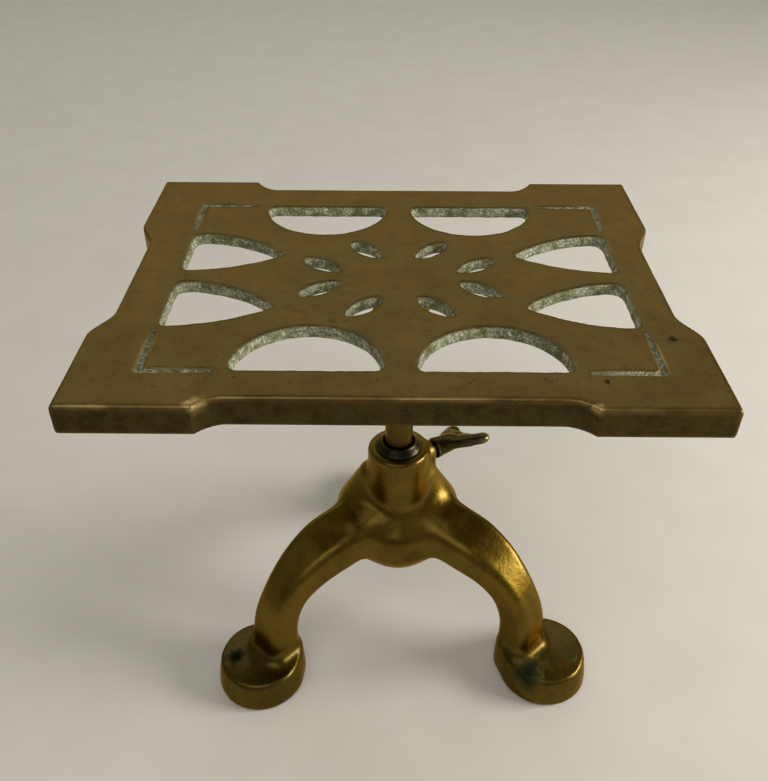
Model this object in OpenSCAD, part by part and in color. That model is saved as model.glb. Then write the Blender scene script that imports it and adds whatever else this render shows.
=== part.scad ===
// Book display stand: a pierced rectangular table on a round mast.
// The mast slides in the socket of a three-legged cast base, and a wing screw clamps it.
// The mast, socket and base share one vertical axis. Millimetres, +Z up, standing on Z = 0.

/* [Table] */
// Width of the table, left to right
table_w = 200; // [190:1:210]
// Depth of the table, front to back
table_d = 160; // [152:1:168]
// Height of the table's top face above the floor, with the mast as set
table_z = 181; // [174:1:190]
// Thickness of the pierced panel
panel_t = 4.6; // [3.5:0.1:5.5]
// Depth of the turned-down rim, top face included
rim_h = 10.9; // [9:0.1:14]
// Thickness of the rim's wall
rim_t = 4.6; // [3.5:0.1:6]
// Length of a corner tab along the long edges
tab_x = 41; // [36:1:46]
// Length of a corner tab along the short edges
tab_y = 42; // [36:1:46]
// Length of the curve between a tab and a waist
ogee_run = 9; // [7:0.5:12]
// How far the side waists are cut in
side_waist = 6; // [3:0.5:8]
// How far the front waist is cut in
front_waist = 4.6; // [3:0.2:7]
// How far the back waist is cut in
back_waist = 8; // [5:0.5:10]

/* [Piercing] */
// Radius of the half-round holes
half_r = 24.2; // [22:0.2:25]
// Half the gap between two half-round holes
half_gap = 5; // [4:0.5:7]
// Distance from the pattern's middle to the straight side of a half-round hole
half_y = 57.6; // [56:0.2:60]
// Length of the pointed side holes
fin_l = 37; // [34:0.5:39]
// Width of the pointed side holes
fin_w = 28.5; // [25:0.5:30]
// Distance from the pattern's middle to the straight side of a side hole
fin_x = 80; // [78:0.5:82]
// Distance from the pattern's middle line to the middle of a side hole
fin_y = 18.6; // [18:0.1:20]
// Length of the small leaf holes
leaf_l = 17.5; // [14:0.5:19]
// Width of the small leaf holes
leaf_w = 6.6; // [5:0.1:7.5]
// Width of the corner grooves
groove_w = 2; // [1.5:0.1:3]
// Depth of the corner grooves
groove_h = 1; // [0.6:0.1:1.5]
// Length of each arm of a corner groove
groove_l = 22; // [16:0.5:24]

/* [Mast] */
// Diameter of the mast
mast_d = 11.4; // [10:0.1:12]
// Height of the mast's lower end above the floor, with the mast as set
mast_foot_z = 60; // [58:1:66]
// Diameter of the spigot in the table's boss
spigot_d = 8; // [7:0.1:8.5]
// Diameter of the table's boss
boss_d = 21; // [19:0.5:22]
// Length of the table's boss below the panel
boss_h = 13.2; // [12:0.1:16]
// Radial clearance of the sliding and turning fits
fit_gap = 0.05; // [0.03:0.01:0.08]
// Radial clearance of the fits that stay put
seat_gap = 0.01; // [0.01:0.01:0.03]

/* [Base] */
// Diameter of the socket tube
socket_d = 25.6; // [24:0.2:27]
// Height of the socket's rim
socket_z = 102.3; // [98:0.1:104]
// Height of the bush's flange above the socket's rim
flange_h = 3; // [2:0.1:3.5]
// Height of the hub's lower end
hub_z = 41; // [38:0.5:46]
// Distance from the mast's axis to the middle of a foot
foot_reach = 73; // [69:0.5:77]
// Diameter of a foot
foot_d = 38; // [35:0.2:41]
// Height of a foot's wall
foot_wall = 11.5; // [8:0.5:13]
// Height of a foot's crown
foot_top = 14; // [13.5:0.5:16]
// Width of a leg across its flats
leg_w = 17.6; // [16:0.2:20]
// Turn of the base about the mast, in degrees
base_turn = 2; // [-5:1:5]

/* [Clamp] */
// Height of the wing screw's axis
screw_z = 92.5; // [90:0.5:94]
// Diameter of the wing screw's thread
screw_d = 8; // [7:0.5:8]
// Distance from the mast's axis to the face of the screw's lug
lug_reach = 16; // [15:0.5:19]
// Distance from the mast's axis to the tips of the wings
wing_reach = 39; // [37:0.5:42]
// Span of the wings
wing_span = 31; // [26:1:34]
// Thickness of the wings
wing_t = 3; // [2.4:0.2:4]
// Turn of the wings about the screw's axis, in degrees
wing_turn = 28; // [0:1:60]

/* [Hidden] */
$fn = 96;
eps = 0.01;

// The table was cast a little off its boss: its outline's middle, seen from the mast's axis
table_shift = [-2.5, 5];
// The pierced pattern's middle, seen from the mast's axis
pattern_shift = [-0.8, 1.7];
// The origin is on the floor, in the middle of the object's footprint, so the mast stands off it
rear_reach = foot_reach * cos(base_turn) + foot_d / 2;
front_reach = table_d / 2 - table_shift[1];
mast_at = [-table_shift[0], (front_reach - rear_reach) / 2, 0];

// The leaf holes of one quarter of the pattern: place of the middle, and angle
leaves = [[12.2, 20.4, 45], [28.3, 8.8, 33]];

legs = [90, 210, 330];
hub_ball_r = 20;
hub_ball_z = 63;
hub_lobe_r = 15;
hub_lobe_reach = 12;
hub_lobe_z = 73;
hub_foot_d = 25;
leg_corner = 5;
leg_arc_r = 42.5;
leg_arc_x = 20;
leg_arc_z = 22;
leg_arc_angle = 104;
leg_drop_x = leg_arc_x + leg_arc_r;
foot_dome_r = (pow(foot_d / 2, 2) + pow(foot_top - foot_wall, 2)) / (2 * (foot_top - foot_wall));

boss_low = table_z - panel_t - boss_h;
spigot_top = table_z - panel_t - 1.5;
swivel_groove_z = boss_low + 6;
swivel_groove_w = 3.4;
swivel_groove_depth = 1.4;
set_screw_d = 4;
set_screw_in = spigot_d / 2 - swivel_groove_depth + 0.4;

bush_d = 14.6;
bush_low = 70;
bush_flange_d = 19.2;
bush_chamfer = 2.2;
bush_mouth = 1;
socket_bore_d = 12.6;

lug_d = 12.6;
lug_angle = 30;
pad_d = 6;
pad_in = mast_d / 2 + 0.1;
pad_out = 8.6;
neck_reach = lug_reach + 2.2;
web_reach = 27;
notch_reach = 35.5;
wing_tip_r = 4.6;
thread_groove = 0.5;

// Runs from 0 to 1 along an S curve as u goes from 0 to 1
function ease(u) = (1 - cos(180 * min(1, max(0, u)))) / 2;

// One edge of the table, from corner to corner along +X, cut in by waist between its tabs
function edge(half, tab, waist) = let(
    step = ogee_run / 8,
    run = [for (i = [0 : 8]) tab + i * step])
    concat([[-half, 0]],
           [for (s = run) [-half + s, waist * ease((s - tab) / ogee_run)]],
           [for (i = [8 : -1 : 0]) [half - run[i], waist * ease((run[i] - tab) / ogee_run)]]);

// The table's outline, with its walls moved in by inset
module outline(inset) {
    w = table_w / 2 - inset;
    d = table_d / 2 - inset;
    long_tab = tab_x - inset;
    short_tab = tab_y - inset;
    front = [for (p = edge(w, long_tab, front_waist)) [p[0], p[1] - d]];
    right = [for (p = edge(d, short_tab, side_waist)) [w - p[1], p[0]]];
    back = [for (p = edge(w, long_tab, back_waist)) [-p[0], d - p[1]]];
    left = [for (p = edge(d, short_tab, side_waist)) [p[1] - w, -p[0]]];
    polygon(concat(front, right, back, left));
}

module half_round() {
    intersection() {
        circle(half_r);
        translate([-2 * half_r, 0]) square([4 * half_r, 2 * half_r]);
    }
}

// A pointed arch, its straight foot on the Y axis and its point on +X
module fin() {
    a = fin_w / 2;
    r = (a * a + fin_l * fin_l) / (2 * a);
    intersection() {
        translate([0, r - a]) circle(r);
        translate([0, a - r]) circle(r);
        translate([0, -fin_w]) square([2 * fin_l, 2 * fin_w]);
    }
}

module leaf() {
    r = (leaf_l * leaf_l + leaf_w * leaf_w) / (4 * leaf_w);
    intersection() {
        translate([0, r - leaf_w / 2]) circle(r);
        translate([0, leaf_w / 2 - r]) circle(r);
    }
}

module piercing() {
    for (sx = [-1, 1]) {
        for (sy = [-1, 1]) {
            translate([sx * (half_gap + half_r), sy * half_y])
                mirror([0, sy > 0 ? 1 : 0]) half_round();
            translate([sx * fin_x, sy * fin_y])
                mirror([sx > 0 ? 1 : 0, 0]) fin();
            for (l = leaves) {
                translate([sx * l[0], sy * l[1]]) rotate(sx * sy * l[2]) leaf();
            }
        }
    }
}

module corner_grooves() {
    for (sx = [-1, 1]) {
        for (sy = [-1, 1]) {
            mirror([sx < 0 ? 1 : 0, 0]) mirror([0, sy < 0 ? 1 : 0]) {
                translate([fin_x + 1 - groove_l, half_y]) square([groove_l, groove_w]);
                translate([fin_x + 1 - groove_w, half_y + groove_w - groove_l])
                    square([groove_w, groove_l]);
            }
        }
    }
}

// The table: one casting, a pierced panel with a turned-down rim and a boss under its middle
module top_plate() {
    color([0.43, 0.36, 0.22])
    translate(mast_at)
    difference() {
        union() {
            translate([table_shift[0], table_shift[1], table_z - rim_h])
                difference() {
                    linear_extrude(rim_h) outline(0);
                    translate([0, 0, -1]) linear_extrude(rim_h - panel_t + 1) outline(rim_t);
                }
            translate([0, 0, boss_low]) cylinder(d = boss_d, h = boss_h + panel_t / 2);
        }
        translate([pattern_shift[0], pattern_shift[1], table_z - panel_t - 1])
            linear_extrude(panel_t + 2) piercing();
        translate([pattern_shift[0], pattern_shift[1], table_z - groove_h])
            linear_extrude(groove_h + 1) corner_grooves();
        translate([0, 0, boss_low - 1])
            cylinder(d = spigot_d + 2 * fit_gap, h = spigot_top + 1 + fit_gap - boss_low);
        translate([0, 0, swivel_groove_z]) rotate([-90, 0, 0])
            cylinder(d = set_screw_d + 2 * seat_gap, h = boss_d);
    }
}

// Grub screw in the boss's wall; its dog point runs in the mast's groove and keeps the table on
module plate_set_screw() {
    socket_depth = 2.5;
    socket_d = 2;
    color([0.3, 0.29, 0.27])
    translate(mast_at) translate([0, 0, swivel_groove_z]) rotate([-90, 0, 0])
    difference() {
        union() {
            translate([0, 0, set_screw_in]) cylinder(d = swivel_groove_w - 0.6, h = 2);
            translate([0, 0, spigot_d / 2 + 0.3])
                cylinder(d = set_screw_d, h = boss_d / 2 - spigot_d / 2 - 0.8);
        }
        translate([0, 0, boss_d / 2 - 0.5 - socket_depth]) cylinder(d = socket_d, h = socket_depth + 1);
    }
}

// The mast: a round bar, turned down at the top to a spigot with a groove
module mast_rod() {
    r = mast_d / 2;
    s = spigot_d / 2;
    bevel = 0.8;
    color([0.62, 0.48, 0.2])
    translate(mast_at)
    rotate_extrude() polygon([
        [0, mast_foot_z], [r - bevel, mast_foot_z], [r, mast_foot_z + bevel],
        [r, boss_low - fit_gap], [s, boss_low - fit_gap],
        [s, swivel_groove_z - swivel_groove_w / 2],
        [s - swivel_groove_depth, swivel_groove_z - swivel_groove_w / 2],
        [s - swivel_groove_depth, swivel_groove_z + swivel_groove_w / 2],
        [s, swivel_groove_z + swivel_groove_w / 2],
        [s, spigot_top - bevel], [s - bevel, spigot_top], [0, spigot_top]]);
}

// Flanged sleeve pressed into the socket, which the mast slides in
module guide_bush() {
    r = mast_d / 2 + fit_gap;
    out = bush_d / 2;
    flange = bush_flange_d / 2;
    top = socket_z + flange_h;
    color([0.2, 0.17, 0.11])
    translate(mast_at)
    difference() {
        rotate_extrude() polygon([
            [r, bush_low], [out, bush_low], [out, socket_z], [flange, socket_z],
            [flange, top - bush_chamfer], [flange - bush_chamfer, top],
            [r + bush_mouth, top], [r, top - bush_mouth]]);
        rotate([0, 0, lug_angle + base_turn]) translate([0, 0, screw_z]) rotate([0, 90, 0])
            cylinder(d = pad_d + 2 * fit_gap, h = bush_d);
    }
}

// Rounded square, the section of a leg
module leg_section() {
    flat = leg_w - 2 * leg_corner;
    square([leg_w, flat], center = true);
    square([flat, leg_w], center = true);
    for (sx = [-1, 1]) {
        for (sy = [-1, 1]) {
            translate([sx * flat / 2, sy * flat / 2]) circle(leg_corner, $fn = 48);
        }
    }
}

// One arched leg with its foot, running out along +X
module leg() {
    translate([leg_arc_x, 0, leg_arc_z]) rotate([90, 0, 0])
        rotate_extrude(angle = leg_arc_angle) translate([leg_arc_r, 0]) leg_section();
    translate([leg_drop_x, 0, foot_wall / 2])
        linear_extrude(leg_arc_z - foot_wall / 2) leg_section();
    intersection() {
        translate([foot_reach, 0, 0]) cylinder(d = foot_d, h = foot_top);
        translate([foot_reach, 0, foot_top - foot_dome_r]) sphere(foot_dome_r);
    }
}

// The base: one casting, a hub with a socket tube, three legs and a lug for the wing screw
module tripod_base() {
    chip_room = 1.6;
    color([0.4, 0.34, 0.17])
    translate(mast_at) rotate([0, 0, base_turn])
    difference() {
        union() {
            translate([0, 0, hub_lobe_z]) cylinder(d = socket_d, h = socket_z - hub_lobe_z);
            translate([0, 0, hub_z]) cylinder(d = hub_foot_d, h = hub_ball_z - hub_z);
            translate([0, 0, hub_ball_z]) sphere(hub_ball_r);
            for (a = legs) {
                rotate([0, 0, a]) {
                    translate([hub_lobe_reach, 0, hub_lobe_z]) sphere(hub_lobe_r);
                    leg();
                }
            }
            translate([0, 0, screw_z]) rotate([0, 0, lug_angle]) rotate([0, 90, 0])
                cylinder(d = lug_d, h = lug_reach);
        }
        translate([0, 0, hub_z - 1]) cylinder(d = socket_bore_d, h = socket_z);
        translate([0, 0, bush_low - chip_room]) cylinder(d = bush_d + 2 * seat_gap, h = socket_z);
        translate([0, 0, screw_z]) rotate([0, 0, lug_angle]) rotate([0, 90, 0])
            cylinder(d = screw_d + 2 * fit_gap, h = lug_reach + 1);
    }
}

// Everything on the wing screw's axis, drawn along +Z and laid where the screw goes
module on_screw_axis() {
    translate(mast_at) translate([0, 0, screw_z]) rotate([0, 0, lug_angle + base_turn])
        rotate([0, 90, 0]) children();
}

// Loose slug between the screw's point and the mast, which saves the mast from scoring
module pressure_pad() {
    color([0.6, 0.45, 0.2])
    on_screw_axis() translate([0, 0, pad_in]) cylinder(d = pad_d, h = pad_out - pad_in);
}

// The wing screw: threaded shank, neck and two wings
module wing_screw() {
    r = screw_d / 2;
    groove_low = lug_reach + 0.4;
    groove_high = lug_reach + 1.5;
    color([0.27, 0.24, 0.19])
    on_screw_axis() {
        rotate_extrude() polygon([
            [0, pad_out + eps], [r - 0.8, pad_out + eps], [r, pad_out + 0.8],
            [r, groove_low], [r - thread_groove, groove_low + 0.3], [r, groove_low + 0.6],
            [r, groove_high], [r - thread_groove, groove_high + 0.3], [r + 0.5, neck_reach],
            [r + 0.5, neck_reach + 1.5], [r - 0.8, web_reach + 3], [0, web_reach + 3]]);
        rotate([0, 0, -wing_turn]) wings();
    }
}

// Both wings in one flat plate, with a notch between them
module wings() {
    half = wing_span / 2;
    tip_y = half - wing_tip_r;
    tip_z = wing_reach - wing_tip_r;
    rotate([90, 0, 90]) translate([0, 0, -wing_t / 2]) linear_extrude(wing_t)
        difference() {
            union() {
                for (s = [-1, 1]) {
                    translate([s * tip_y, tip_z]) circle(wing_tip_r);
                    polygon([[0, neck_reach + 1], [s * 3.8, neck_reach + 1],
                             [s * (half - 0.6), tip_z - 2.2], [s * (tip_y - 2), wing_reach - 1],
                             [0, notch_reach]]);
                }
            }
            translate([0, wing_reach + 1.5]) circle(wing_reach + 1.5 - notch_reach + 0.6);
        }
}

top_plate();
plate_set_screw();
mast_rod();
guide_bush();
tripod_base();
pressure_pad();
wing_screw();
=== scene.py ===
# The book display stand's look: cast pieces carved from distance fields, turned pieces, aged brass.
from math import cos, pi, radians, sin

import bpy
import numpy as np
from mathutils import Matrix, Vector


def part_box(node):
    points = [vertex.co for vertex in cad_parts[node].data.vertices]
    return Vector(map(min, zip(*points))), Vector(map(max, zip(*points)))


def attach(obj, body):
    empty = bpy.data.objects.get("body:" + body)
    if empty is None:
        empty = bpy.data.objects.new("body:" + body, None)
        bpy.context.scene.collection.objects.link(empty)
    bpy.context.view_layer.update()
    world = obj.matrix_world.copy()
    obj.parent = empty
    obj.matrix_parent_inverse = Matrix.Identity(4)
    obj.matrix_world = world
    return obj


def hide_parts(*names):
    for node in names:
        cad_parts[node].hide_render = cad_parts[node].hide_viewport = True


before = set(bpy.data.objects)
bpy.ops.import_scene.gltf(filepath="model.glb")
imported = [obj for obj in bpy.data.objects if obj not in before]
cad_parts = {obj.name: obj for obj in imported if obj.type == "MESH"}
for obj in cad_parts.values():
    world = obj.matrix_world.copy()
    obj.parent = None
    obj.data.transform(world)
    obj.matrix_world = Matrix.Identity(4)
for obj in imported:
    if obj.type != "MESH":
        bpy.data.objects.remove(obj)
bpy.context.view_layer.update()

MM = 0.001

# how fine each carved mesh is, in millimetres
FINE = 1.0
TABLE_STEP, BASE_STEP, SCREW_STEP = 0.9 * FINE, 0.75 * FINE, 0.36 * FINE


def box_mm(node):
    """Lowest and highest corner of a CAD node, in millimetres."""
    low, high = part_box(node)
    return np.array(low) / MM, np.array(high) / MM


# ---------- driving dimensions, in millimetres; the rest is read from the CAD frame ----------
MAST_LOW, MAST_HIGH = box_mm("mast_rod")
AXIS = (MAST_LOW + MAST_HIGH) / 2 * (1, 1, 0)
PLATE_LOW, PLATE_HIGH = box_mm("top_plate")
BASE_LOW, BASE_HIGH = box_mm("tripod_base")
BUSH_LOW, BUSH_HIGH = box_mm("guide_bush")
TABLE_Z = PLATE_HIGH[2]

# the table
PANEL_T = 4.6
RIM_H = 10.9
RIM_T = 4.6
# how long each tab is, and how far the curve at its end runs
END_TAB, SIDE_FRONT_TAB, SIDE_REAR_TAB = (41, 9), (37, 15), (42, 18)
FRONT_WAIST, SIDE_WAIST, BACK_WAIST = 4.6, 6, 8
BOSS_R, BOSS_H = 10.5, 13.2
PATTERN = AXIS[:2] + (-0.8, 1.7)
HALF_R, HALF_GAP, HALF_Y, HALF_ROUND = 24.2, 5, 57.6, 4
FIN_L, FIN_W, FIN_X, FIN_Y = 37, 28.5, 80, 18.6
FIN_TIP, FIN_BACK_ROUND, FIN_FRONT_ROUND, FIN_TIP_ROUND = 2, 7, 4, 2
LEAF_L, LEAF_W, LEAF_ROUND = 17.5, 6.6, 2.5
# each leaf's place across and along the pattern, and its angle
LEAVES = ((12.2, 20.4, 45), (28.3, 8.8, 33))
GROOVE_W, GROOVE_L, GROOVE_DEPTH, GROOVE_TAPER = 2.1, 22, 1.1, 0.022
HOLE_DRAFT = 0.2
HOLLOW_ROUND, RIM_ROUND, TOP_ROUND, HOLE_ROUND, GROOVE_ROUND = 4, 1.4, 1.5, 1.7, 0.7
BOSS_ROUND, BOSS_FILLET = 1.5, 4
SPIGOT_ROOM, SPIGOT_BORE_TOP, SET_SCREW_R = 0.05, 1.4, 2.01
# uneven castings: each ripple's height, its size across and its seed
TOP_RIPPLES = (0.16, 34, 1), (0.05, 9, 2)
HOLE_RIPPLE, BASE_RIPPLE, BASE_SWELL = (0.25, 4, 8), (0.09, 13, 3), (0.12, 30, 4)

# the mast and its bush
SPIGOT_R = 4
SWIVEL_GROOVE_W, SWIVEL_GROOVE_DEPTH = 3.4, 1.4
SWIVEL_GROOVE_Z = TABLE_Z - PANEL_T - BOSS_H + 6
BUSH_R, BUSH_MOUTH = 7.3, 1

# the base; each leg has an angle, a twist at its foot, and the foot's reach, offset and radius
SOCKET_R, SOCKET_BORE_R = 12.8, 6.3
SOCKET_LOW, BUSH_SEAT_ROOM = 66, 1.6
HUB_LOW, HUB_RIDGE_R, HUB_RIDGE_Z = 41, 22, 65.5
CONE_OUT, CONE_UP = 0.752, 0.659
BOWL_R, BOWL_TOP = HUB_RIDGE_R + 0.3, HUB_RIDGE_Z + 4
BASE_TURN = 2
LEGS = ((90, 0, 73, 0, 19), (210, -16, 71.6, 1.5, 18.8), (329.6, 20, 74.4, 0, 19.2))
LEG_HALF_LOW, LEG_HALF_HIGH, LEG_CORNER, LEG_SLANT = 8, 10.3, 4.2, 0.014
FOOT_WALL, FOOT_TOP, FOOT_LEAN = 12.4, 14.2, 2.9
FOOT_RIM_ROUND, FOOT_SOLE_ROUND = 1.3, 1.8
LEAN_LOW, LEAN_CURVE, LEAN_MOST = 2, 1.6, 1.3
LEG_ARC, LEG_ARC_X, LEG_ARC_Z, LEG_ARC_ANGLE = 42.5, 20, 22, 104
LEG_LOW, LEG_PAST_HUB, LEG_THINNING = 2, 0.35, 0.6
# between which angles of its arc a leg grows thicker, thins into the hub, twists, and slants on top
THICKER, THINNER, TWISTING, SLANTING = (25, 75), (84, 104), (75, 10), (20, 65)
# swellings of the hub, beside the tube and at each leg's root: start, end and the radius at each
SHOULDER_ANGLES = (14, 168)
SHOULDER = (10, 0, 84), (16, 0, 68.5), 7.5, 10
LEG_ROOT, LEG_ROOT_SHIFT = ((8, 0, 66), (21, 0, 64), 11.5, 9.6), 0.12
# how widely the shapes of the base blend into each other, and where they blend more: low under the hub,
# and close to the mast
UNDER_HUB, NEAR_MAST = (60, 50), (25, 15)
FOOT_BLEND, LEG_BLEND, LEG_BLEND_UNDER, LEG_BLEND_INSIDE, ROOT_BLEND = 6.5, 5, 2, 3, 6
SHOULDER_BLEND, LUG_BLEND, SOCKET_BLEND, RIDGE_ROUND, SOCKET_ROUND = 7, 2.5, 2.6, 2.5, 2.4

# the wing screw, measured out along its axis from the mast's
SCREW_Z, SCREW_TURN = 92.5, 32
SCREW_R, PITCH = 4, 1.5
SCREW_IN, LUG_REACH, LUG_R = 8.62, 15.8, 5.7
WING_REACH, WING_SPAN, WING_TURN = 39, 31, 28
SCREW_ROOM = 0.06
THREAD_DEPTH, THREAD_CHAMFER, THREAD_END = 0.75, 1.2, LUG_REACH + 2.4
NECK_START, NECK_END, NECK_R, NECK_TAPER = LUG_REACH + 2.1, 29, 4.7, 0.14
# the points that a wing runs through, and its radius at each
WING_PATH = ((1.5, 0, 24), 3.9), ((8.2, 0, 31), 3.4), ((11.6, 0, 35.2), 3.6)
WEB = (0, 0, 25), (3.5, 0, 30.5), 4.6, 5.2
WING_FLATNESS, WEB_FLATNESS = 1.55, 2.2

# the camera, from the mast's axis and the table's top, and its turns in degrees
CAMERA_FROM, LENS, SENSOR = (-5.07, -263.04, 148.51), 38.63, 36
CAMERA_PAN, CAMERA_DOWN, CAMERA_ROLL = 0.24, 37.089, 0.247
FLOOR_RADIUS, FLOOR_SIDES = 6, 96


# ---------- distance fields ----------
def smooth_min(a, b, k):
    """The lower of a and b, blended over a width of k: a fillet where two shapes meet."""
    h = np.clip(0.5 + 0.5 * (b - a) / k, 0, 1)
    return b + (a - b) * h - k * h * (1 - h)


def smooth_max(a, b, k):
    return -smooth_min(-a, -b, k)


def fade(value, start, end):
    """0 where value is at start, 1 at end, and smooth between them."""
    t = np.clip((value - start) / (end - start), 0, 1)
    return t * t * (3 - 2 * t)


def length(*parts):
    return np.sqrt(sum(p * p for p in parts))


def turned_by(x, y, degrees):
    """Coordinates in axes that are turned by that angle."""
    c, s = cos(radians(degrees)), sin(radians(degrees))
    return c * x + s * y, c * y - s * x


def ripple(x, y, z, size, seed):
    """Gentle uneven waves from -1 to 1, about size across."""
    rng = np.random.default_rng(seed)
    total = 0
    for _ in range(5):
        way = rng.normal(size=3)
        way *= 2 * pi / size * rng.uniform(0.7, 1.4) / np.linalg.norm(way)
        total = total + np.sin(way[0] * x + way[1] * y + way[2] * z + rng.uniform(0, 2 * pi))
    return total / 5


def capsule(x, y, z, start, end, r_start, r_end):
    """A rod with round ends, thicker at one end if the radii differ."""
    start, end = np.array(start, float), np.array(end, float)
    way = end - start
    px, py, pz = x - start[0], y - start[1], z - start[2]
    t = np.clip((px * way[0] + py * way[1] + pz * way[2]) / (way @ way), 0, 1)
    return length(px - t * way[0], py - t * way[1], pz - t * way[2]) - (r_start + (r_end - r_start) * t)


def polygon_distance(x, y, corners):
    """Signed distance to a polygon, negative inside."""
    best = np.full(np.shape(x), np.inf)
    inside = np.zeros(np.shape(x), bool)
    for (ax, ay), (bx, by) in zip(corners, np.roll(corners, -1, axis=0)):
        ex, ey = bx - ax, by - ay
        t = np.clip(((x - ax) * ex + (y - ay) * ey) / (ex * ex + ey * ey), 0, 1)
        best = np.minimum(best, (x - ax - t * ex) ** 2 + (y - ay - t * ey) ** 2)
        if ey:
            inside ^= ((ay > y) != (by > y)) & (x < ax + ex * (y - ay) / ey)
    return np.where(inside, -1, 1) * np.sqrt(best)


class Plan:
    """A field in the plane, worked out once on a fine grid and then read between its points."""

    def __init__(self, field, low, high, step=0.4):
        self.low, self.step = np.array(low, float), step
        count = np.ceil((np.array(high) - low) / step).astype(int) + 1
        x = self.low[0] + step * np.arange(count[0])
        y = self.low[1] + step * np.arange(count[1])
        self.values = field(*np.meshgrid(x, y, indexing="ij"))

    def __call__(self, x, y):
        u = np.clip((x - self.low[0]) / self.step, 0, self.values.shape[0] - 1.001)
        v = np.clip((y - self.low[1]) / self.step, 0, self.values.shape[1] - 1.001)
        i, j = u.astype(int), v.astype(int)
        u, v = u - i, v - j
        near = self.values[i, j] * (1 - v) + self.values[i, j + 1] * v
        far = self.values[i + 1, j] * (1 - v) + self.values[i + 1, j + 1] * v
        return near * (1 - u) + far * u


# ---------- from a distance field to a mesh ----------
BLOCK = 8
CORNERS = [(i, j, k) for i in (0, 1) for j in (0, 1) for k in (0, 1)]


def sample(shape, low, step, blocks):
    """The field on a grid: exact near the surface, and roughly right elsewhere."""
    middle = [low[a] + step * BLOCK * (np.arange(blocks[a]) + 0.5) for a in range(3)]
    rough = shape(*np.meshgrid(*middle, indexing="ij")).astype(np.float32)
    grid = np.empty(np.array(blocks) * BLOCK + 1, np.float32)
    grid[:-1, :-1, :-1] = np.repeat(np.repeat(np.repeat(rough, BLOCK, 0), BLOCK, 1), BLOCK, 2)
    grid[-1], grid[:, -1], grid[:, :, -1] = 1, 1, 1
    near = np.argwhere(np.abs(rough) < step * BLOCK * 1.05)
    inner = np.stack(np.meshgrid(*[np.arange(BLOCK + 1)] * 3, indexing="ij"), -1)
    for chunk in np.array_split(near, max(1, len(near) // 400)):
        index = chunk[:, None, None, None] * BLOCK + inner
        place = low + step * index
        grid[tuple(np.moveaxis(index, -1, 0))] = shape(*np.moveaxis(place, -1, 0))
    return grid


def slope(shape, p, reach):
    """The field's value, gradient and curvature at each point."""
    value = shape(*p.T)
    total = -6 * value
    gradient = np.empty_like(p)
    for a in range(3):
        shift = np.eye(3)[a] * reach
        up, down = shape(*(p + shift).T), shape(*(p - shift).T)
        gradient[:, a] = (up - down) / (2 * reach)
        total = total + up + down
    return value, gradient, total / reach ** 2


def carve(shape, low, high, step):
    """The surface where the field is 0: its points, quads and curvature, convex being positive."""
    low = np.array(low, float) - 2 * step
    blocks = np.ceil((np.array(high) + 2 * step - low) / (step * BLOCK)).astype(int)
    grid = sample(shape, low, step, blocks)
    inside = grid < 0
    size = np.array(grid.shape) - 1
    count = sum(inside[i:i + size[0], j:j + size[1], k:k + size[2]].astype(np.int8) for i, j, k in CORNERS)
    mixed = (count > 0) & (count < 8)
    number = np.full(mixed.shape, -1)
    number[mixed] = np.arange(mixed.sum())
    cells = np.argwhere(mixed)
    total, hits = np.zeros((len(cells), 3)), np.zeros(len(cells))
    for start in CORNERS:
        for a in range(3):
            if start[a]:
                continue
            end = np.array(start) + np.eye(3, dtype=int)[a]
            v0, v1 = grid[tuple((cells + start).T)], grid[tuple((cells + end).T)]
            cut = (v0 < 0) != (v1 < 0)
            t = v0[cut] / (v0[cut] - v1[cut])
            total[cut] += np.array(start) + np.outer(t, np.eye(3)[a])
            hits[cut] += 1
    points = low + step * (cells + total / hits[:, None])
    quads = []
    for a in range(3):
        b, c = (a + 1) % 3, (a + 2) % 3
        here = np.moveaxis(inside, (a, b, c), (0, 1, 2))[:, 1:-1, 1:-1]
        cell = np.moveaxis(number, (a, b, c), (0, 1, 2))
        out = here[:-1] & ~here[1:]
        back = ~here[:-1] & here[1:]
        ring = [cell[:, :-1, :-1], cell[:, 1:, :-1], cell[:, 1:, 1:], cell[:, :-1, 1:]]
        quads.append(np.stack([r[out] for r in ring], -1))
        quads.append(np.stack([r[back] for r in reversed(ring)], -1))
    for _ in range(3):
        value, gradient = slope(shape, points, 0.25 * step)[:2]
        move = 0.7 * value / np.maximum((gradient ** 2).sum(1), 0.5)
        points -= gradient * np.clip(move, -0.5 * step, 0.5 * step)[:, None]
    return points, np.concatenate(quads), slope(shape, points, 0.8)[2]


def mesh_piece(name, body, nodes, points, faces, masks=None):
    """A smooth piece from points in millimetres, with named masks on its points."""
    mesh = bpy.data.meshes.new(name)
    mesh.from_pydata(np.asarray(points) * MM, [], faces, shade_flat=False)
    for mask, values in (masks or {}).items():
        attribute = mesh.attributes.new(mask, "FLOAT", "POINT")
        attribute.data.foreach_set("value", np.asarray(values, np.float32))
    piece = bpy.data.objects.new(name, mesh)
    bpy.context.scene.collection.objects.link(piece)
    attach(piece, body)
    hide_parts(*nodes)
    return piece


# ---------- the table ----------
def edge(half, waist, first, last, crisp):
    """One edge of the table along +X; each tab ends in a scoop with a crisp corner, or in a smooth curve."""
    t = np.linspace(0, 1, 13)
    dip = waist * (np.sin(0.5 * pi * t) ** 0.8 if crisp else fade(t, 0, 1))
    left = np.column_stack([first[0] + first[1] * t - half, dip])
    right = np.column_stack([half - last[0] - last[1] * t, dip])
    return np.concatenate([[[-half, 0]], left, right[::-1]])


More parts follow.
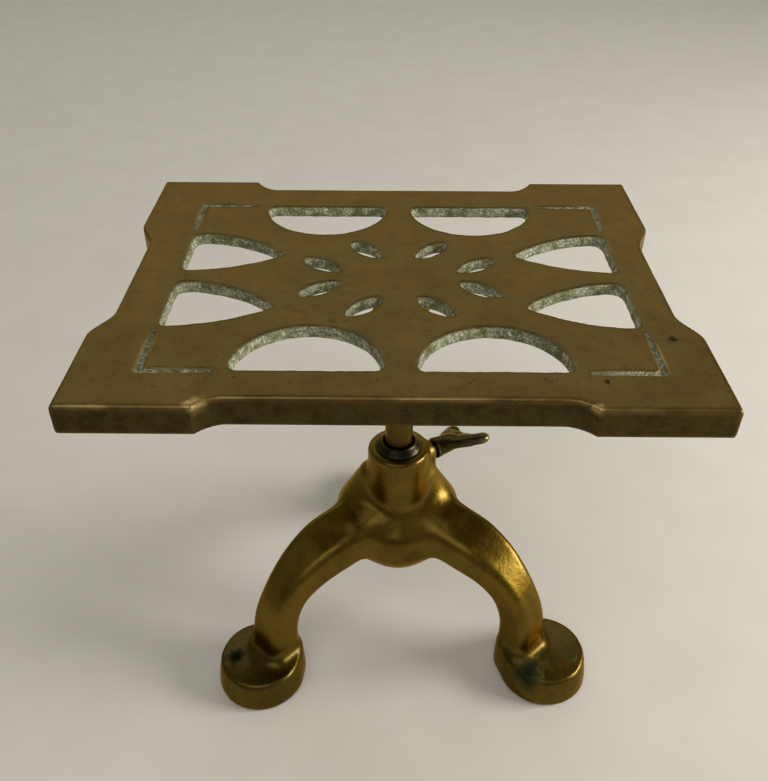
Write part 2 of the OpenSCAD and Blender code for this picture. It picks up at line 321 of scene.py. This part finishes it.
def table_outline():
    w, d = (PLATE_HIGH - PLATE_LOW)[:2] / 2
    middle = (PLATE_HIGH + PLATE_LOW)[:2] / 2
    front = edge(w, FRONT_WAIST, END_TAB, END_TAB, True) - (0, d)
    back = (0, d) - edge(w, BACK_WAIST, END_TAB, END_TAB, True)
    right = edge(d, SIDE_WAIST, SIDE_FRONT_TAB, SIDE_REAR_TAB, False)
    left = edge(d, SIDE_WAIST, SIDE_REAR_TAB, SIDE_FRONT_TAB, False)
    right = np.column_stack([w - right[:, 1], right[:, 0]])
    left = np.column_stack([left[:, 1] - w, -left[:, 0]])
    return np.concatenate([front, right, back, left]) + middle


def half_round(x, y):
    """Half a disc: straight side on the X axis, round side on +Y."""
    return smooth_max(length(x, y) - HALF_R, -y, HALF_ROUND)


def fin(x, y):
    """A pointed hole: straight side on the Y axis, point on +X, and fuller on its back edge."""
    def arc(reach):
        return (FIN_L ** 2 + reach ** 2) / (2 * reach)
    up, down = arc(FIN_W / 2 + FIN_TIP), arc(FIN_W / 2 - FIN_TIP)
    over = length(x, y - (FIN_W / 2 - up)) - up
    under = length(x, y - (down - FIN_W / 2)) - down
    over = smooth_max(over, -x, FIN_BACK_ROUND)
    under = smooth_max(under, -x, FIN_FRONT_ROUND)
    return smooth_max(over, under, FIN_TIP_ROUND)


def leaf(x, y):
    """A slim hole along the X axis, pointed at both ends."""
    r = (LEAF_L ** 2 + LEAF_W ** 2) / (4 * LEAF_W)
    side = r - LEAF_W / 2
    return smooth_max(length(x, y - side) - r, length(x, y + side) - r, LEAF_ROUND)


def holes(x, y):
    """All the holes of the table at once, in the plane."""
    x, y = x - PATTERN[0], y - PATTERN[1]
    x = np.abs(x)
    found = np.full(np.shape(x), np.inf)
    for side in (-1, 1):
        found = np.minimum(found, half_round(x - HALF_GAP - HALF_R, HALF_Y - side * y))
        found = np.minimum(found, fin(FIN_X - x, y - side * FIN_Y))
        for away, along, angle in LEAVES:
            found = np.minimum(found, leaf(*turned_by(x - away, y - side * along, side * angle)))
    return found


def grooves(x, y):
    """Distance from the middle of the nearest corner groove."""
    x, y = np.abs(x - PATTERN[0]), np.abs(y - PATTERN[1])
    corner_x, corner_y = FIN_X, HALF_Y + GROOVE_W / 2
    along = length(x - np.clip(x, corner_x - GROOVE_L, corner_x), y - corner_y)
    across = length(x - corner_x, y - np.clip(y, corner_y - GROOVE_L, corner_y))
    along, across = along + GROOVE_TAPER * (corner_x - x), across + GROOVE_TAPER * (corner_y - y)
    return np.minimum(along, across)


PLAN_LOW, PLAN_HIGH = PLATE_LOW[:2] - 6, PLATE_HIGH[:2] + 6
OUTLINE = table_outline()
outline_at = Plan(lambda x, y: polygon_distance(x, y, OUTLINE), PLAN_LOW, PLAN_HIGH)
holes_at = Plan(holes, PLAN_LOW, PLAN_HIGH)
grooves_at = Plan(grooves, PLAN_LOW, PLAN_HIGH)


def table_shape(x, y, z):
    """A hollow casting with a boss under it, its top slightly uneven, then the holes, grooves and bores."""
    uneven = sum(height * (1 + ripple(x, y, z, *kind)) / 2 for height, *kind in TOP_RIPPLES)
    outline, hole = outline_at(x, y), holes_at(x, y)
    below = z - TABLE_Z
    hollow = smooth_max(outline + RIM_T, below + PANEL_T, HOLLOW_ROUND)
    casting = smooth_max(outline + 0.02, -hollow, RIM_ROUND)
    r = length(x - AXIS[0], y - AXIS[1])
    boss = smooth_max(r - BOSS_R, -PANEL_T - BOSS_H - below, BOSS_ROUND)
    casting = smooth_min(smooth_max(casting, -RIM_H - below, RIM_ROUND), boss, BOSS_FILLET)
    casting = smooth_max(casting, below + uneven, TOP_ROUND)
    height, *kind = HOLE_RIPPLE
    casting = smooth_max(casting, HOLE_DRAFT * below - hole - height * ripple(x, y, z, *kind), HOLE_ROUND)
    channel = length(grooves_at(x, y), 0.9 * below) - GROOVE_DEPTH
    casting = smooth_max(casting, -channel, GROOVE_ROUND)
    bore = np.maximum(r - SPIGOT_R - SPIGOT_ROOM, below + PANEL_T + SPIGOT_BORE_TOP)
    tapped = np.maximum(length(x - AXIS[0], z - SWIVEL_GROOVE_Z) - SET_SCREW_R, AXIS[1] - y)
    return np.maximum(casting, -np.minimum(bore, tapped))


def make_table():
    """The table; its masks mark crust, stained fringes, and a rim darkened as partly dirt, partly painted
    shade.
    """
    points, quads, bend = carve(table_shape, PLATE_LOW, PLATE_HIGH, TABLE_STEP)
    x, y, z = points.T
    below = z - TABLE_Z
    wall = fade(np.abs(holes_at(x, y) - HOLE_DRAFT * below), 1.5, 0.5) * fade(below, -0.35, -1.2)
    channel = fade(grooves_at(x, y), 1.5, 0.5) * fade(below, -1.6, -1.2) * fade(below, -0.15, -0.55)
    fringe = fade(holes_at(x, y), 6, 0.5) * fade(below, -2, -0.5) * 0.35
    # the rim's outer faces: partly dirt, partly painted shade for the dim room they reflect
    rim = fade(outline_at(x, y), -2.6, -0.6) * fade(below, -0.9, -2.4)
    masks = {"crust": np.maximum(wall, channel), "fringe": fringe, "grime_and_painted_shade": rim, "bend": bend}
    return mesh_piece("cast_table", "table", ["top_plate"], points, quads, masks)


# ---------- the base ----------
def leg_shape(x, y, z, twist):
    """One leg's rounded square bar, running out along +X and down into its foot."""
    u, w = x - LEG_ARC_X, z - LEG_ARC_Z
    turn = np.degrees(np.arctan2(w, u))
    n = np.where(w > 0, length(u, w), np.abs(u)) - LEG_ARC
    thick = fade(turn, *THICKER) - LEG_THINNING * fade(turn, *THINNER)
    half = LEG_HALF_LOW + (LEG_HALF_HIGH - LEG_HALF_LOW) * thick
    angle = np.radians(twist * fade(turn, *TWISTING))
    side = np.abs(y * np.cos(angle) + n * np.sin(angle)) - half + LEG_CORNER
    out = n * np.cos(angle) - y * np.sin(angle)
    slant = LEG_SLANT * twist * fade(turn, *SLANTING)
    out = np.maximum(out - slant * y + np.abs(slant) * half, -out) - half + LEG_CORNER
    bar = length(np.maximum(side, 0), np.maximum(out, 0)) + np.minimum(np.maximum(side, out), 0) - LEG_CORNER
    past = radians(LEG_ARC_ANGLE)
    bar = np.maximum(bar, -w * cos(past) - u * sin(past) - LEG_ARC * LEG_PAST_HUB)
    return np.maximum(bar, -z + LEG_LOW)


def foot_shape(x, y, z, radius):
    """A thick pad with a crisp rim under a nearly flat dome; its wall leans in at the front."""
    r = length(x, y)
    front = 0.5 - 0.5 * y / np.maximum(r, 1)
    lean = FOOT_LEAN * front * np.clip((z - LEAN_LOW) / (FOOT_WALL - LEAN_LOW), 0, LEAN_MOST) ** LEAN_CURVE
    dome_r = (radius ** 2 + (FOOT_TOP - FOOT_WALL) ** 2) / (2 * (FOOT_TOP - FOOT_WALL))
    foot = smooth_max(r - radius + lean, length(r, z - FOOT_TOP + dome_r) - dome_r, FOOT_RIM_ROUND)
    return smooth_max(foot, -z, FOOT_SOLE_ROUND)


def base_shape(x, y, z):
    """A cone on a bowl, three legs, two shoulders, the screw's lug and the socket, then the bores."""
    x, y = turned_by(x - AXIS[0], y - AXIS[1], BASE_TURN)
    r = length(x, y)
    cone = (r - HUB_RIDGE_R) * CONE_OUT + (z - HUB_RIDGE_Z) * CONE_UP
    drop = np.maximum(BOWL_TOP - z, 0) / (BOWL_TOP - HUB_LOW)
    bowl = (np.cbrt((r / BOWL_R) ** 3 + drop ** 3) - 1) * HUB_RIDGE_R
    hub = smooth_max(cone, bowl, RIDGE_ROUND)
    leg_blend = LEG_BLEND + LEG_BLEND_UNDER * fade(z, *UNDER_HUB) + LEG_BLEND_INSIDE * fade(r, *NEAR_MAST)
    for angle, twist, reach, offset, foot_r in LEGS:
        u, v = turned_by(x, y, angle)
        foot_x, foot_y = turned_by(u - reach, v - offset, -angle)
        leg = smooth_min(leg_shape(u, v, z, twist), foot_shape(foot_x, foot_y, z, foot_r), FOOT_BLEND)
        hub = smooth_min(hub, leg, leg_blend)
        hub = smooth_min(hub, capsule(u, v - LEG_ROOT_SHIFT * twist, z, *LEG_ROOT), ROOT_BLEND)
    for angle in SHOULDER_ANGLES:
        u, v = turned_by(x, y, angle)
        hub = smooth_min(hub, capsule(u, v, z, *SHOULDER), SHOULDER_BLEND)
    u, v = turned_by(x, y, SCREW_TURN - BASE_TURN)
    lug = smooth_max(length(v, z - SCREW_Z) - LUG_R, u - LUG_REACH, 1)
    lug = np.maximum(lug, -u)
    hub = smooth_min(hub, lug, LUG_BLEND)
    socket = smooth_max(r - SOCKET_R, z - BASE_HIGH[2], SOCKET_ROUND)
    hub = smooth_min(hub, np.maximum(socket, SOCKET_LOW - z), SOCKET_BLEND)
    (height, *kind), (swell, *swell_kind) = BASE_RIPPLE, BASE_SWELL
    hub = hub + height * (1 + ripple(x, y, z, *kind)) + swell * ripple(x, y, z, *swell_kind) * fade(z, 4, 12)
    bore = r - np.where(z > BUSH_LOW[2] - BUSH_SEAT_ROOM, BUSH_R + 0.01, SOCKET_BORE_R)
    tapped = np.maximum(length(v, z - SCREW_Z) - SCREW_R - SCREW_ROOM, -u)
    return np.maximum(np.maximum(hub, -z), -np.minimum(bore, tapped))


def make_base():
    """The base; its mask darkens its low parts toward olive, most on the feet's tops: partly dirt, partly
    painted shade.
    """
    points, quads, bend = carve(base_shape, BASE_LOW, BASE_HIGH, BASE_STEP)
    height = points[:, 2]
    on_top = fade(height, FOOT_WALL - 1.5, FOOT_WALL + 0.5)
    # darker toward the floor, most on the feet's tops: partly dirt, partly painted shade
    grime_and_painted_shade = fade(height, FOOT_TOP + 5, FOOT_TOP) * (0.4 + 0.25 * on_top)
    return mesh_piece("cast_base", "base", ["tripod_base"], points, quads, {"grime_and_painted_shade": grime_and_painted_shade, "bend": bend})


# ---------- the wing screw ----------
def wing_screw_shape(a, b, p):
    """a runs along the wings, b through their thickness, and p out along the axis."""
    r = length(a, b)
    turn = np.arctan2(b, a)
    tooth = 0.5 - 0.5 * np.cos(2 * pi * p / PITCH - turn)
    thread = (r - SCREW_R + THREAD_DEPTH * tooth) * 0.8
    thread = smooth_max(thread, r - (p - SCREW_IN) - SCREW_R + THREAD_CHAMFER, 0.3)
    thread = np.maximum(np.maximum(thread, SCREW_IN - p), p - THREAD_END)
    neck = smooth_max((r - NECK_R + NECK_TAPER * (p - NECK_START)) * 0.98, NECK_START - p, 0.8)
    neck = smooth_max(neck, p - NECK_END, 3)
    side = np.abs(a)
    (root, root_r), (bend, bend_r), (tip, tip_r) = WING_PATH
    wings = smooth_min(capsule(side, b * WING_FLATNESS, p, root, bend, root_r, bend_r),
                       capsule(side, b * WING_FLATNESS, p, bend, tip, bend_r, tip_r), 2)
    web = capsule(side, b * WEB_FLATNESS, p, *WEB)
    wings = smooth_min(wings * 0.72, web * 0.55, 1.5)
    whole = np.minimum(thread, smooth_min(neck, wings, 2.5))
    return whole + 0.05 * ripple(a, b, p, 5, 7)


def make_wing_screw():
    reach = WING_SPAN / 2 + 1
    low, high = (-reach, -6, SCREW_IN - 1), (reach, 6, WING_REACH + 1)
    points, quads, bend = carve(wing_screw_shape, low, high, SCREW_STEP)
    turn = Matrix.Rotation(radians(SCREW_TURN), 3, "Z") @ Matrix.Rotation(radians(90), 3, "Y")
    turn = turn @ Matrix.Rotation(radians(-90 - WING_TURN), 3, "Z")
    placed = points @ np.array(turn).T + AXIS + (0, 0, SCREW_Z)
    return mesh_piece("wing_screw_body", "screw", ["wing_screw"], placed, quads, {"bend": bend})


# ---------- turned pieces ----------
def lathe(name, body, node, profile, worn=(), sides=160):
    """A closed ring of (radius, height) points turned about the mast's axis; the worn ones are bright."""
    profile = np.array(profile, float)
    angle = 2 * pi * np.arange(sides) / sides
    points = np.stack([
        np.outer(np.cos(angle), profile[:, 0]) + AXIS[0],
        np.outer(np.sin(angle), profile[:, 0]) + AXIS[1],
        np.tile(profile[:, 1], (sides, 1))], -1).reshape(-1, 3)
    count = len(profile)
    here = np.arange(sides)[:, None] * count + np.arange(count)
    ahead, above = np.roll(here, -1, 0), np.roll(here, -1, 1)
    faces = np.stack([here, ahead, np.roll(ahead, -1, 1), above], -1).reshape(-1, 4)
    bend = np.tile([float(i in worn) for i in range(count)], sides)
    return mesh_piece(name, body, [node], points, faces, {"bend": bend})


def make_mast():
    """The bar, rounded at its lower end, with its spigot and the groove for the set screw's point."""
    r = (MAST_HIGH - MAST_LOW)[0] / 2
    low, high = MAST_LOW[2], MAST_HIGH[2]
    shoulder = TABLE_Z - PANEL_T - BOSS_H - 0.05
    core = SPIGOT_R - SWIVEL_GROOVE_DEPTH
    groove_low = SWIVEL_GROOVE_Z - SWIVEL_GROOVE_W / 2
    groove_high = SWIVEL_GROOVE_Z + SWIVEL_GROOVE_W / 2
    shank = [(r + 0.012 * sin(z / 3.1) - 0.02, z) for z in np.arange(low + 1.2, shoulder - 0.8, 1.5)]
    return lathe("turned_mast", "mast", "mast_rod", [
        (0.05, low), (r - 1, low), (r - 0.5, low + 0.15), (r - 0.15, low + 0.5), *shank,
        (r - 0.02, shoulder - 0.5), (r - 0.1, shoulder - 0.15), (r - 0.4, shoulder),
        (SPIGOT_R, shoulder), (SPIGOT_R, groove_low), (core, groove_low), (core, groove_high),
        (SPIGOT_R, groove_high), (SPIGOT_R, high - 0.8), (SPIGOT_R - 0.8, high), (0.05, high)])


def make_bush():
    """The flanged sleeve, its flange's edge worn round and its mouth countersunk."""
    inner = (MAST_HIGH - MAST_LOW)[0] / 2 + 0.06
    flange = (BUSH_HIGH - BUSH_LOW)[0] / 2 - 0.03
    low, top = BUSH_LOW[2], BUSH_HIGH[2]
    seat = BASE_HIGH[2] + 0.02
    return lathe("dark_bush", "base", "guide_bush", [
        (inner, low), (BUSH_R - 0.4, low), (BUSH_R, low + 0.4), (BUSH_R, seat),
        (flange - 0.3, seat), (flange, seat + 0.3), (flange - 0.25, seat + 0.7), (flange - 1.0, seat + 1.5),
        (flange - 1.9, top - 0.7), (flange - 2.6, top - 0.15), (inner + BUSH_MOUTH + 0.2, top),
        (inner + BUSH_MOUTH, top - 0.1), (inner + BUSH_MOUTH - 0.2, top - 0.35),
        (inner + 0.25, top - BUSH_MOUTH), (inner, top - BUSH_MOUTH - 0.5)], worn=(10, 11))


# ---------- materials ----------
class Paint:
    """A node material, built by calls that each return a socket. Sizes are in millimetres."""

    def __init__(self, name):
        self.material = bpy.data.materials.new(name)
        self.material.use_nodes = True
        self.tree = self.material.node_tree
        self.shader = self.tree.nodes["Principled BSDF"]
        self.place = self.add("TexCoord").outputs["Object"]

    def add(self, kind, inputs=None, **settings):
        node = self.tree.nodes.new("ShaderNode" + kind)
        for key, value in settings.items():
            setattr(node, key, value)
        self.plug(node, inputs or {})
        return node

    def plug(self, node, inputs):
        for key, value in inputs.items():
            if isinstance(value, bpy.types.NodeSocket):
                self.tree.links.new(value, node.inputs[key])
            else:
                node.inputs[key].default_value = value

    def math(self, operation, a, b=0.0):
        return self.add("Math", {0: a, 1: b}, operation=operation).outputs[0]

    def levels(self, value, start, end, low=0.0, high=1.0):
        """A smooth step from low to high as value goes from start to end."""
        sockets = {"Value": value, "From Min": start, "From Max": end, "To Min": low, "To Max": high}
        return self.add("MapRange", sockets, interpolation_type="SMOOTHSTEP").outputs["Result"]

    def noise(self, size, detail=3.0, roughness=0.55, stretch=(1, 1, 1), distortion=0.0, offset=0.0):
        scale = Vector(stretch) / (size * MM)
        place = self.add("Mapping", {"Vector": self.place, "Scale": scale, "Location": (offset,) * 3})
        sockets = {"Vector": place.outputs[0], "Scale": 1.0, "Detail": detail,
                   "Roughness": roughness, "Distortion": distortion}
        return self.add("TexNoise", sockets).outputs["Fac"]

    def cells(self, size):
        """Distance from the nearest of many scattered points, about size apart."""
        sockets = {"Vector": self.place, "Scale": 1 / (size * MM)}
        return self.add("TexVoronoi", sockets).outputs["Distance"]

    def mask(self, name):
        return self.add("Attribute", attribute_name=name).outputs["Fac"]

    def spot(self, place, radius):
        """1 at a place on the object, fading to 0 at that radius with a ragged edge."""
        gap = self.add("VectorMath", {0: self.place, 1: Vector(place) * MM}, operation="DISTANCE")
        ragged = self.levels(self.noise(radius * 0.8, 3, 0.5), 0.3, 0.7, 0.75, 1.3)
        gap = self.math("MULTIPLY", gap.outputs["Value"], ragged)
        return self.levels(gap, radius * MM, radius * MM * 0.3)

    def mix(self, factor, a, b):
        return self.add("MixRGB", {0: factor, 1: a, 2: b}).outputs[0]

    def finish(self, colour, roughness, metallic, height, depth, coat=0.0):
        """Join everything to the shader; bare metal can have a thin clear coat of oxide."""
        bump = self.add("Bump", {"Height": height, "Distance": depth * MM, "Strength": 1.0})
        coat = self.math("MULTIPLY", metallic, coat)
        self.plug(self.shader, {"Base Color": colour, "Roughness": roughness, "Metallic": metallic,
                                "Specular Tint": (1, 0.74, 0.28, 1), "Specular IOR Level": 0.25,
                                "Coat Weight": coat, "Coat Roughness": 0.2, "Normal": bump.outputs[0]})
        return self.material


BLACK = (0.006, 0.006, 0.003, 1)
VERDIGRIS = (0.030, 0.072, 0.022, 1)


def aged_brass(name, dark, light, worn, rough, grime_and_painted_shade=0.75, spots=(), bright=(), grain=1.0, lines=0.0):
    """Cast brass gone brown, brighter where worn on convex edges and at painted highlights, with verdigris
    where the crust mask says.

    The other masks are fringe (stains beside the crust), one that darkens toward olive (partly dirt, partly
    painted shade), and bend (the surface's curvature), by which concave creases are painted near black,
    partly as dirt and partly as painted shade. spots are stains, each a place, radius, strength and colour;
    bright are painted highlights in the worn colour, each a place and radius; grain and lines are how deep
    the casting's grain and the brush marks are.
    """
    p = Paint(name)
    broad = p.levels(p.noise(26, 5, 0.6, distortion=0.4), 0.36, 0.66)
    fine = p.noise(1.3, 4, 0.65)
    crumb = p.levels(p.noise(0.75, 5, 0.7, offset=2), 0.36, 0.66)
    clump = p.levels(p.noise(4.5, 4, 0.7, offset=9), 0.34, 0.6)
    streak = p.noise(3.4, 4, 0.6, stretch=(1, 0.12, 1), offset=7)
    colour = p.mix(broad, dark, light)
    mottle = p.levels(p.noise(5.5, 5, 0.7, offset=3), 0.48, 0.72, 0, 0.45)
    colour = p.mix(mottle, colour, [c * 0.55 for c in dark[:3]] + [1])
    bend = p.mask("bend")
    patchy = p.levels(p.noise(16, 3, 0.5, offset=11), 0.38, 0.7, 0.04, 0.6)
    wear_and_painted_highlight = p.math("MULTIPLY", p.levels(bend, 0.22, 0.9), patchy)
    # the bright places are painted highlights, joined to the edge wear and drawn in the worn colour
    for place, radius in bright:
        wear_and_painted_highlight = p.math("MAXIMUM", wear_and_painted_highlight, p.spot(place, radius))
    colour = p.mix(wear_and_painted_highlight, colour, worn)
    olive = p.mix(clump, (0.011, 0.010, 0.001, 1), (0.045, 0.034, 0.004, 1))
    # darkened toward olive where that mask says: partly dirt, partly painted shade
    colour = p.mix(p.math("MULTIPLY", p.mask("grime_and_painted_shade"), 0.8), colour, olive)
    # concave creases are painted near black: partly dirt, partly painted shade
    crease_dirt_and_painted_shade = p.math("MULTIPLY", p.levels(bend, -0.06, -0.4), grime_and_painted_shade)
    colour = p.mix(crease_dirt_and_painted_shade, colour, (0.018, 0.017, 0.008, 1))
    pitted = p.levels(p.noise(12, 3, offset=5), 0.52, 0.64)
    pits = p.math("MULTIPLY", p.levels(p.cells(3.2), 0.16, 0.05), pitted)
    colour = p.mix(pits, colour, (0.01, 0.008, 0.004, 1))
    pale = p.mix(crumb, (0.26, 0.31, 0.15, 1), (1.0, 1.0, 0.80, 1))
    pale = p.mix(clump, (0.22, 0.25, 0.10, 1), pale)
    crust = p.math("MULTIPLY", p.mask("crust"), p.levels(crumb, 0.0, 0.35, 0.55, 1))
    colour = p.mix(p.mask("fringe"), colour, (0.10, 0.085, 0.03, 1))
    colour = p.mix(crust, colour, pale)
    matt = crust
    for place, radius, strength, stain in spots:
        spot = p.math("MULTIPLY", p.spot(place, radius), strength)
        colour = p.mix(spot, colour, p.mix(crumb, [c * 0.3 for c in stain[:3]] + [1], stain))
        matt = p.math("MAXIMUM", matt, spot)
    rough_value = p.levels(broad, 0, 1, rough, rough + 0.06)
    rough_value = p.math("ADD", rough_value, p.levels(fine, 0.3, 0.75, -0.03, 0.05))
    rough_value = p.math("SUBTRACT", rough_value, p.math("MULTIPLY", wear_and_painted_highlight, 0.08))
    roughness = p.math("MAXIMUM", rough_value, p.math("MULTIPLY", matt, 0.92))
    metallic = p.math("SUBTRACT", 1.0, p.math("MULTIPLY", matt, 0.95))
    height = p.math("MULTIPLY", p.noise(2.6, 5, 0.55, offset=4), grain)
    height = p.math("ADD", height, p.math("MULTIPLY", streak, lines))
    height = p.math("SUBTRACT", height, p.math("MULTIPLY", pits, 1.2))
    height = p.math("ADD", height, p.math("MULTIPLY", p.math("MULTIPLY", crumb, matt), 3.5))
    return p.finish(colour, roughness, metallic, height, 0.16, coat=0.2)


def on_axis(x, y, z):
    """A place given from the mast's axis and the floor."""
    return AXIS + (x, y, z)


def paint(piece, material):
    piece.data.materials.clear()
    piece.data.materials.append(material)


# ---------- camera, light and floor ----------
def area_light(name, place, target, size, energy, colour):
    data = bpy.data.lights.new(name, "AREA")
    data.shape = "RECTANGLE"
    data.size, data.size_y = size
    data.energy = energy
    data.color = colour
    light = bpy.data.objects.new(name, data)
    light.location = place
    way = Vector(target) - Vector(place)
    light.rotation_euler = way.to_track_quat("-Z", "Y").to_euler()
    bpy.context.scene.collection.objects.link(light)


def make_camera():
    data = bpy.data.cameras.new("camera")
    data.lens, data.sensor_width = LENS, SENSOR
    data.clip_start, data.clip_end = 0.02, 20
    camera = bpy.data.objects.new("camera", data)
    turn = Matrix.Rotation(radians(CAMERA_PAN), 4, "Z") @ Matrix.Rotation(radians(90 - CAMERA_DOWN), 4, "X")
    turn = turn @ Matrix.Rotation(radians(CAMERA_ROLL), 4, "Z")
    place = AXIS + (0, 0, TABLE_Z) + CAMERA_FROM
    camera.matrix_world = Matrix.Translation(Vector(place) * MM) @ turn
    bpy.context.scene.collection.objects.link(camera)
    bpy.context.scene.camera = camera


def make_floor():
    """A plain pale floor, wide enough to fill the view."""
    mesh = bpy.data.meshes.new("floor")
    angle = 2 * pi * np.arange(FLOOR_SIDES) / FLOOR_SIDES
    ring = np.column_stack([np.cos(angle), np.sin(angle), 0 * angle]) * FLOOR_RADIUS
    mesh.from_pydata(ring, [], [list(range(FLOOR_SIDES))])
    floor = bpy.data.objects.new("floor", mesh)
    bpy.context.scene.collection.objects.link(floor)
    paper = Paint("pale_paper")
    tone = paper.levels(paper.noise(40, 3), 0.3, 0.7)
    colour = paper.mix(tone, (0.79, 0.755, 0.69, 1), (0.82, 0.785, 0.72, 1))
    mesh.materials.append(paper.finish(colour, 0.85, 0.0, tone, 0.01))


def make_world():
    world = bpy.data.worlds.new("studio")
    world.use_nodes = True
    background = world.node_tree.nodes["Background"]
    background.inputs["Color"].default_value = (0.86, 0.82, 0.72, 1)
    background.inputs["Strength"].default_value = 0.25
    bpy.context.scene.world = world
    bpy.context.scene.view_settings.view_transform = "Standard"


make_camera()
make_world()
make_floor()
area_light("window", (1.13, -0.06, 0.48), (0, 0, 0.08), (0.6, 0.42), 12.5, (1, 0.98, 0.94))
area_light("wall", (-0.1, 1.3, 1.2), (0, 0, 0.15), (2.4, 1.1), 5, (0.98, 0.99, 1))
area_light("ceiling", (-0.3, -0.8, 1.4), (0, 0, 0.05), (1.2, 1.2), 5, (1, 0.99, 0.97))

# the plate's pale worn colour serves both its edge wear and its painted highlights
PLATE_BRASS = aged_brass("plate_brass", (0.108, 0.066, 0.015, 1), (0.162, 0.100, 0.024, 1),
                         (0.52, 0.38, 0.14, 1), 0.38, lines=0.35,
                         spots=((on_axis(86.6, -38.2, TABLE_Z), 2.4, 0.9, BLACK),
                                (on_axis(60.9, -61.6, TABLE_Z), 1.4, 0.9, BLACK)),
                         # painted highlights at the front tab corners
                         bright=(((PLATE_LOW[0] + END_TAB[0] + 1.5, PLATE_LOW[1] + 1, TABLE_Z - 1), 4.5),
                                 ((PLATE_HIGH[0] - END_TAB[0] - 1, PLATE_LOW[1] + 1, TABLE_Z - 1), 3)))
BASE_BRASS = aged_brass("base_brass", (0.108, 0.065, 0.005, 1), (0.165, 0.103, 0.009, 1),
                        (0.36, 0.26, 0.08, 1), 0.30,
                        spots=((on_axis(-70.4, -40.2, 13.6), 5, 1, BLACK),
                               (on_axis(-53.5, -43, 11), 4.5, 0.8, BLACK),
                               (on_axis(57.8, -45.6, 11), 9, 0.85, VERDIGRIS),
                               (on_axis(58, -45.2, 10.5), 6, 1, BLACK),
                               (on_axis(77.4, -38.6, 13.2), 2.6, 0.8, VERDIGRIS),
                               (on_axis(-17.8, -1, 73), 1.1, 1, BLACK)))
# the bar's brass is darkened as painted shade of the table above it; the pressure pad shares it
BAR_BRASS_PAINTED_SHADE = aged_brass("bar_brass", (0.07, 0.038, 0.003, 1), (0.115, 0.066, 0.006, 1),
                       (0.60, 0.46, 0.18, 1), 0.28, grain=0.4)
# the bush's near-black colour is partly dirt and partly painted shade in the socket's mouth
DARK_BRASS_AND_PAINTED_SHADE = aged_brass("dark_brass_and_painted_shade", (0.018, 0.014, 0.006, 1), (0.04, 0.032, 0.015, 1),
                        (0.35, 0.30, 0.2, 1), 0.36, grain=0.6)
DARK_SCREW = aged_brass("dark_screw", (0.036, 0.027, 0.008, 1), (0.072, 0.055, 0.020, 1),
                        (0.36, 0.29, 0.16, 1), 0.33, grain=0.8)

paint(make_table(), PLATE_BRASS)
paint(make_base(), BASE_BRASS)
paint(make_mast(), BAR_BRASS_PAINTED_SHADE)
paint(make_bush(), DARK_BRASS_AND_PAINTED_SHADE)
paint(make_wing_screw(), DARK_SCREW)
paint(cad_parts["plate_set_screw"], DARK_SCREW)
paint(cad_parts["pressure_pad"], BAR_BRASS_PAINTED_SHADE)
